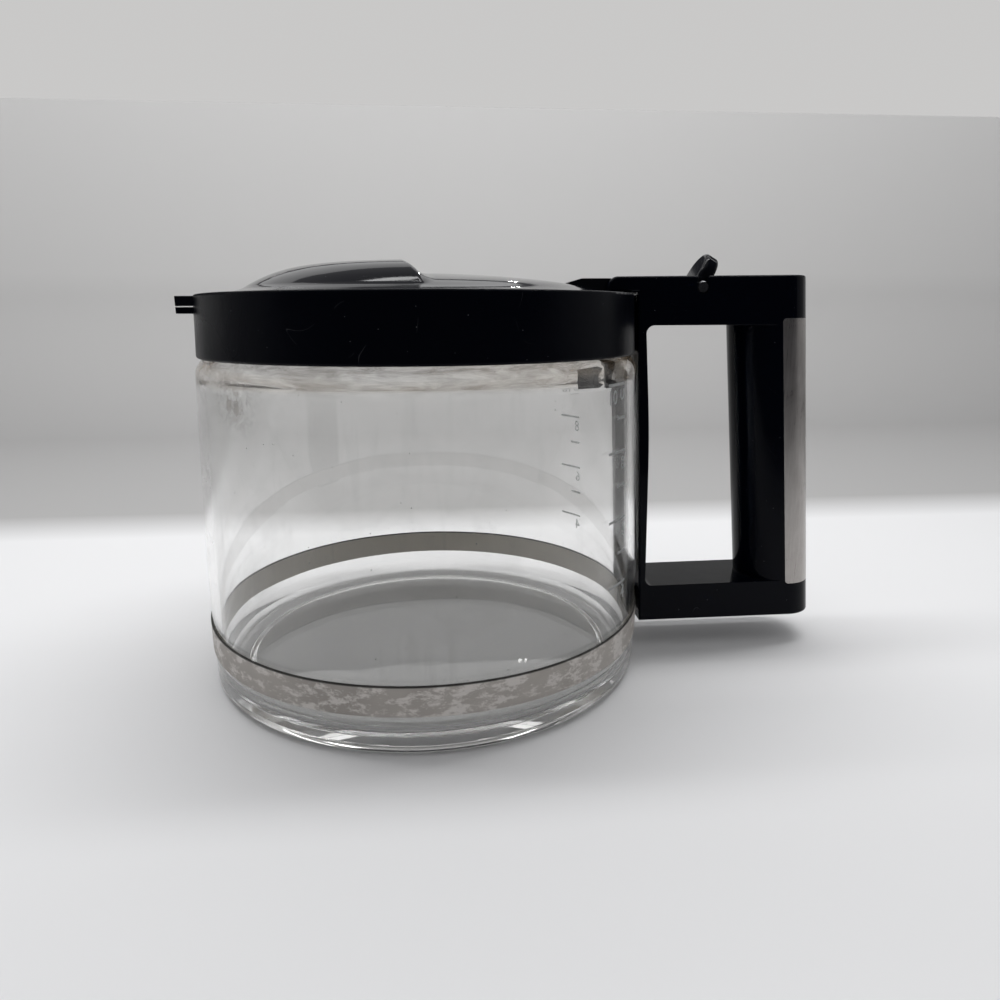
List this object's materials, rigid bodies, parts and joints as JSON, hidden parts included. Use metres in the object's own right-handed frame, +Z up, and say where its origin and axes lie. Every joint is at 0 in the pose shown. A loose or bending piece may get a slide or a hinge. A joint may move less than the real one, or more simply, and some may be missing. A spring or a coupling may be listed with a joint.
{
  "type": "glass coffee carafe",
  "caption": "Glass coffee jug with a black collar and pouring lip, a domed hinged lid with a thumb lever, a steel strap round its foot and a steel-backed loop handle.",
  "frame": {"origin": "on the jug's axis, in the plane that the glass stands on", "axes": "+Z up, +X towards the handle, so the pouring lip is at -X; +Y completes the right-handed frame"},
  "size_m": [0.2093, 0.1434, 0.133],
  "materials": {
    "glass": "clear",
    "seal_rubber": "matte",
    "black_plastic": "gloss",
    "lid_plastic": "gloss",
    "trim_steel": "brushed",
    "band_steel": "stained",
    "screw_steel": "plated",
    "pin_steel": "polished"
  },
  "bodies": {
    "jug": {"glass_jug": "glass", "neck_seal": "seal_rubber", "collar_ring": "black_plastic", "collar_screw": "screw_steel", "handle_frame": "black_plastic", "grip_trim": "trim_steel", "foot_cover": "black_plastic", "base_band": "band_steel", "band_clamp_screw": "screw_steel", "band_clamp_nut": "screw_steel"},
    "pivot": {"hinge_pin": "pin_steel"},
    "lid": {"lid_cover": "lid_plastic", "lid_base": "lid_plastic", "inlet_funnel": "lid_plastic", "lid_arm": "lid_plastic", "lid_screws": "screw_steel"}
  },
  "joints": [
    {"name": "lid_lift", "type": "slide", "parent": "jug", "child": "pivot", "axis": [0, 0, 1], "range_m": [0, 0.045]},
    {"name": "lid_hinge", "type": "hinge", "parent": "pivot", "child": "lid", "pos_m": [0.0887, 0, 0.1223], "axis": [0, 1, 0], "range_deg": [0, 60]}
  ]
}
